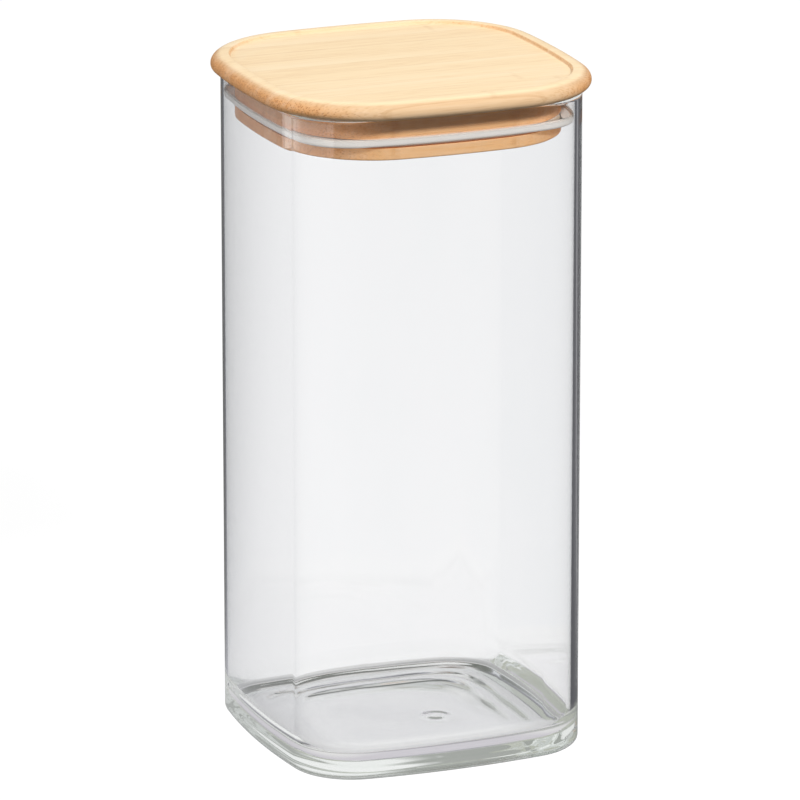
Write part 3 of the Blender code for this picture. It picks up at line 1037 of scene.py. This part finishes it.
def make_glass_material(handling):
    """Clear glass that lets lamp light and the light between surfaces straight through, for an even result.

    Light that has bounced about in it for long is let out as well.
    """
    material, tree = new_material("jar_clear_glass")
    shader = tree.nodes["Principled BSDF"]
    coords = add_node(tree, "TexCoord").outputs
    marks = use_group(tree, handling, {"Place": coords["Object"], **GLASS_HANDLING})
    color = add_mix(tree, marks["Marks"], GLASS_COLOR, GLASS_MARK_COLOR)
    height = split(tree, coords["Object"])["Z"]
    facing = split(tree, coords["Normal"])["Z"]
    # Painted shade round the foot: the glass turns grey near the floor and nearly black in a thin line at
    # the very bottom; the scuff's frosting is the extra roughness
    foot_scuff_and_shade = add_fall(tree, height, *FOOT_SCUFF_AND_SHADE_SPAN)
    turned_out = add_fade(tree, add_math(tree, "ABSOLUTE", facing), *FOOT_SCUFF_AND_SHADE_TURN)
    foot_scuff_and_shade = add_math(tree, "MULTIPLY", foot_scuff_and_shade, turned_out)
    foot_scuff_and_shade = add_math(tree, "MULTIPLY", foot_scuff_and_shade, add_fade(tree, marks["Dust"], 0.0, 1.0, FOOT_SCUFF_AND_SHADE_LEAST, 1.0))
    foot = add_mix(tree, add_fade(tree, height, *PAINTED_FOOT_LINE_SPAN), PAINTED_FOOT_LINE_COLOR, PAINTED_FOOT_SHADE_COLOR)
    feed(tree, add_mix(tree, foot_scuff_and_shade, color, foot), shader.inputs["Base Color"])
    rough = add_math(tree, "MULTIPLY", marks["Marks"], GLASS_MARK_ROUGHNESS)
    rough = add_math(tree, "MULTIPLY_ADD", foot_scuff_and_shade, FOOT_ROUGHNESS, rough)
    feed(tree, rough, shader.inputs["Roughness"])
    feed(tree, add_bump(tree, marks["Height"], *GLASS_BUMP), shader.inputs["Normal"])
    shader.inputs["IOR"].default_value = GLASS_IOR
    shader.inputs["Transmission Weight"].default_value = 1.0
    clear = add_node(tree, "BsdfTransparent", {"Color": GLASS_SHADOW}).outputs["BSDF"]
    path = add_node(tree, "LightPath").outputs
    passed = add_math(tree, "MAXIMUM", path["Is Shadow Ray"], path["Is Diffuse Ray"])
    caught = add_math(tree, "GREATER_THAN", path["Glossy Depth"], CAUGHT_DEPTH)
    output = tree.nodes["Material Output"]
    blend_shaders(tree, add_math(tree, "MAXIMUM", passed, caught), shader.outputs["BSDF"], clear, output)
    body = add_node(tree, "VolumeAbsorption", {"Color": GLASS_BODY, "Density": GLASS_DENSITY})
    feed(tree, body.outputs["Volume"], output.inputs["Volume"])
    return material


def ray_kinds(tree, path):
    """Tells apart the rays that meet the studio.

    Straight rays come from the camera, on their own or only through glass. Guided rays bounced about in
    the glass before they came out, and those that also crossed the inside of the jar are crossed rays.
    """
    through = path["Is Transmission Ray"]
    bounced = add_math(tree, "GREATER_THAN", path["Glossy Depth"], MIRRORED_ONCE)
    only_through = add_math(tree, "MULTIPLY", through, add_math(tree, "SUBTRACT", 1.0, bounced))
    return {
        "seen": path["Is Camera Ray"],
        "straight": add_math(tree, "MAXIMUM", path["Is Camera Ray"], only_through),
        "guided": add_math(tree, "MULTIPLY", through, bounced),
        "crossed": add_math(tree, "GREATER_THAN", path["Transmission Depth"], CROSSED_DEPTH),
        "mirrored": path["Is Glossy Ray"],
        "lost": add_math(tree, "GREATER_THAN", path["Glossy Depth"], LOST_DEPTH),
    }


def studio_color(tree, kinds, fill, mirrored, guided, lost, straight):
    """The tone for each kind of ray; the fill is for light that reaches the pieces' rough surfaces."""
    color = add_mix(tree, kinds["mirrored"], fill, mirrored)
    color = add_mix(tree, kinds["guided"], color, guided)
    color = add_mix(tree, kinds["lost"], color, lost)
    color = add_mix(tree, kinds["straight"], color, straight)
    return add_mix(tree, kinds["seen"], color, BACKDROP_WHITE)


def make_world():
    world = bpy.data.worlds.new("studio")
    bpy.context.scene.world = world
    world.use_nodes = True
    tree = world.node_tree
    place = split(tree, add_node(tree, "TexCoord").outputs["Generated"])
    height = place["Z"]
    kinds = ray_kinds(tree, add_node(tree, "LightPath").outputs)
    mirrored = add_mix(tree, add_fade(tree, height, *SKY_SPAN), SKY_LOW_TONE, SKY_HIGH_TONE)
    raised = add_fade(tree, height, *GUIDED_SPAN)
    guided = add_mix(tree, raised, GUIDED_LOW_TONE, GUIDED_HIGH_TONE)
    crossed = add_mix(tree, raised, CROSSED_LOW_TONE, CROSSED_HIGH_TONE)
    crossed = add_mix(tree, add_fade(tree, height, *CEILING_SPAN), crossed, CEILING_TONE)
    guided = add_mix(tree, kinds["crossed"], guided, crossed)
    fill = add_mix(tree, add_fade(tree, height, *FILL_HEIGHT_SPAN), FILL_LOW, FILL_HIGH)
    fill = add_mix(tree, add_fall(tree, place["X"], *FILL_LEFT_SPAN), fill, FILL_LEFT)
    fill = add_mix(tree, add_fade(tree, place["X"], *FILL_RIGHT_SPAN), fill, FILL_RIGHT)
    lost = add_mix(tree, add_fade(tree, place["Y"], *LOST_BACK_SPAN), LOST_UP_TONE, LOST_BACK_TONE)
    color = studio_color(tree, kinds, fill, mirrored, guided, lost, THROUGH_WHITE)
    feed(tree, color, tree.nodes["Background"].inputs["Color"])


def add_tone_ring(tree, turned, stops):
    """A colour ramp of the tones round the jar, by degrees anticlockwise from +X."""
    ramp = add_node(tree, "ValToRGB", values={"Fac": turned})
    elements = ramp.color_ramp.elements
    elements.remove(elements[1])
    for index, (degrees, tone) in enumerate(stops):
        element = elements[0] if index == 0 else elements.new(degrees / 360)
        element.position = degrees / 360
        element.color = (*tone, 1.0)
    return ramp.outputs["Color"]


def make_floor():
    deselect_all()
    bpy.ops.mesh.primitive_plane_add(size=FLOOR_SIZE, location=(0.0, 0.0, -FLOOR_DROP))
    floor = bpy.context.active_object
    floor.name = "studio_floor"
    material, tree = new_material("studio_floor_white")
    tree.nodes.clear()
    path = add_node(tree, "LightPath").outputs
    kinds = ray_kinds(tree, path)
    object_place = add_node(tree, "TexCoord").outputs["Object"]
    place = split(tree, object_place)
    around = add_math(tree, "DIVIDE", add_math(tree, "ARCTAN2", place["Y"], place["X"]), 2 * math.pi)
    turned = add_math(tree, "FRACT", add_math(tree, "ADD", around, 1.0))
    mirrored = add_tone_ring(tree, turned, MIRRORED_TONES)
    guided = add_mix(tree, kinds["crossed"], add_tone_ring(tree, turned, GUIDED_TONES), CROSSED_TONE)
    guided = add_mix(tree, add_fall(tree, path["Ray Length"], *NEAR_SPAN), guided, NEAR_TONE)
    # Painted shade on the floor under the jar, for rays guided out of the glass
    distance = add_node(tree, "VectorMath", {"Vector": object_place}, operation="LENGTH")
    painted_under_jar_shade = add_fall(tree, distance.outputs["Value"], *PAINTED_UNDER_JAR_SHADE_SPAN)
    guided = add_mix(tree, painted_under_jar_shade, guided, PAINTED_UNDER_JAR_SHADE_TONE)

    # The jar's soft shadow where it stands, in the same rounded square as its dome
    powers = []
    for axis in "XY":
        share = add_math(tree, "ABSOLUTE", add_math(tree, "DIVIDE", place[axis], JAR_HALF))
        powers.append(add_math(tree, "POWER", share, PLAN_SQUARENESS))
    footprint = add_math(tree, "POWER", add_math(tree, "ADD", *powers), 1 / PLAN_SQUARENESS)
    inner = add_fade(tree, footprint, *CONTACT_INNER_SPAN)
    contact = add_math(tree, "MULTIPLY", inner, add_fall(tree, footprint, *CONTACT_OUTER_SPAN))
    straight = add_mix(tree, contact, THROUGH_WHITE, CONTACT_TONE)
    lost = add_mix(tree, add_fade(tree, place["X"], *LOST_SPAN), LOST_LEFT_TONE, LOST_RIGHT_TONE)
    color = studio_color(tree, kinds, FLOOR_BOUNCE, mirrored, guided, lost, straight)
    glow = add_node(tree, "Emission", {"Color": color}).outputs["Emission"]
    paper = add_node(tree, "BsdfDiffuse", {"Color": FLOOR_PAPER}).outputs["BSDF"]
    shadow = add_math(tree, "MULTIPLY", kinds["straight"], SHADOW_SHARE)
    blend_shaders(tree, shadow, glow, paper, add_node(tree, "OutputMaterial"))
    floor.data.materials.append(material)


def make_softbox():
    """The curved light panel to the left, which shows as a bright strip on the jar's rounded corner."""
    deselect_all()
    bpy.ops.mesh.primitive_cylinder_add(
        vertices=SOFTBOX_STEPS, radius=SOFTBOX_RADIUS, depth=SOFTBOX_HEIGHT, end_fill_type="NOTHING",
        location=(-SOFTBOX_CENTRE, -SOFTBOX_CENTRE, SOFTBOX_BOTTOM + SOFTBOX_HEIGHT / 2),
    )
    panel = bpy.context.active_object
    panel.name = "studio_softbox"
    start_edit(panel)

    def outside_panel(face):
        middle = face.calc_center_median()
        return not SOFTBOX_START < math.atan2(middle.y, middle.x) % (2 * math.pi) < SOFTBOX_END
    select_where(outside_panel)
    bpy.ops.mesh.delete(type="FACE")
    end_edit()
    material, tree = new_material("studio_softbox_glow")
    tree.nodes.clear()
    path = add_node(tree, "LightPath").outputs
    mirrored_once = add_math(tree, "LESS_THAN", path["Glossy Depth"], MIRRORED_TWICE)
    through_wall = add_math(tree, "LESS_THAN", path["Transmission Depth"], THROUGH_WALL)
    shown = add_math(tree, "MULTIPLY", mirrored_once, through_wall)
    glow = add_node(tree, "Emission", {"Color": WHITE, "Strength": SOFTBOX_GLOW}).outputs["Emission"]
    clear = add_node(tree, "BsdfTransparent", {"Color": WHITE}).outputs["BSDF"]
    blend_shaders(tree, shown, clear, glow, add_node(tree, "OutputMaterial"))
    panel.data.materials.append(material)
    panel.visible_camera = False
    panel.visible_diffuse = False
    panel.visible_shadow = False


def make_key_lamp():
    """A square lamp that points at the jar and doesn't show in the glass."""
    data = bpy.data.lights.new("key_lamp", "AREA")
    data.shape = "SQUARE"
    data.size = KEY_SIZE
    data.energy = KEY_POWER
    lamp = bpy.data.objects.new("key_lamp", data)
    bpy.context.scene.collection.objects.link(lamp)
    lamp.location = KEY_PLACE
    lamp.rotation_euler = (KEY_PLACE - CAMERA_AIM).to_track_quat("Z", "Y").to_euler()
    lamp.visible_glossy = False
    lamp.visible_transmission = False


def make_camera():
    data = bpy.data.cameras.new("camera")
    camera = bpy.data.objects.new("camera", data)
    bpy.context.scene.collection.objects.link(camera)
    data.lens = CAMERA_LENS
    back = Vector((
        math.sin(CAMERA_AZIMUTH) * math.cos(CAMERA_ELEVATION),
        -math.cos(CAMERA_AZIMUTH) * math.cos(CAMERA_ELEVATION),
        math.sin(CAMERA_ELEVATION),
    ))
    camera.location = CAMERA_AIM + back * CAMERA_DISTANCE
    camera.rotation_euler = back.to_track_quat("Z", "Y").to_euler()
    bpy.context.scene.camera = camera


def set_light_bounces():
    """Light crosses the jar's floor by many bounces, which the usual limit would turn black."""
    cycles = bpy.context.scene.cycles
    cycles.max_bounces = GLASS_BOUNCES
    cycles.glossy_bounces = GLASS_BOUNCES
    cycles.transmission_bounces = GLASS_BOUNCES


bamboo_strips = make_bamboo_group()
edge_wear = make_edge_wear_group()
handling_marks = make_handling_group()

make_glass_jar(make_glass_material(handling_marks))
make_lid_board(make_bamboo_material("board_bamboo", bamboo_strips, edge_wear, BOARD_GLOSS, BOARD_FINISH))
make_lid_plug(make_bamboo_material("plug_bamboo", bamboo_strips, edge_wear, PLUG_GLOSS, PLUG_FINISH))
make_silicone_seal(make_silicone_material(handling_marks, edge_wear))
make_world()
make_floor()
make_softbox()
make_key_lamp()
make_camera()
set_light_bounces()
bpy.context.scene.view_settings.view_transform = "Standard"
